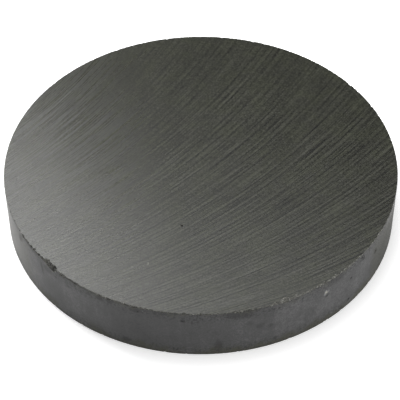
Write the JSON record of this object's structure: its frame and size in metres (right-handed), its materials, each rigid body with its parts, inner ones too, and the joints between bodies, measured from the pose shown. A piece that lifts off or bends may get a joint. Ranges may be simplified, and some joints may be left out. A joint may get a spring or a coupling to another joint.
{
  "type": "disc magnet",
  "caption": "Flat round ferrite magnet with ground pole faces, an as-fired rim and chipped edges.",
  "frame": {"origin": "centre of the lower pole face, on the surface that the disc rests on", "axes": "+Z through the thickness, from the lower pole face to the upper; +X and +Y lie in the pole face, and the knocked corner is at the front left, between -X and -Y"},
  "size_m": [0.1, 0.1, 0.015],
  "materials": {
    "ferrite": "matt"
  },
  "bodies": {
    "root": {"ferrite_disc": "ferrite"}
  },
  "joints": []
}
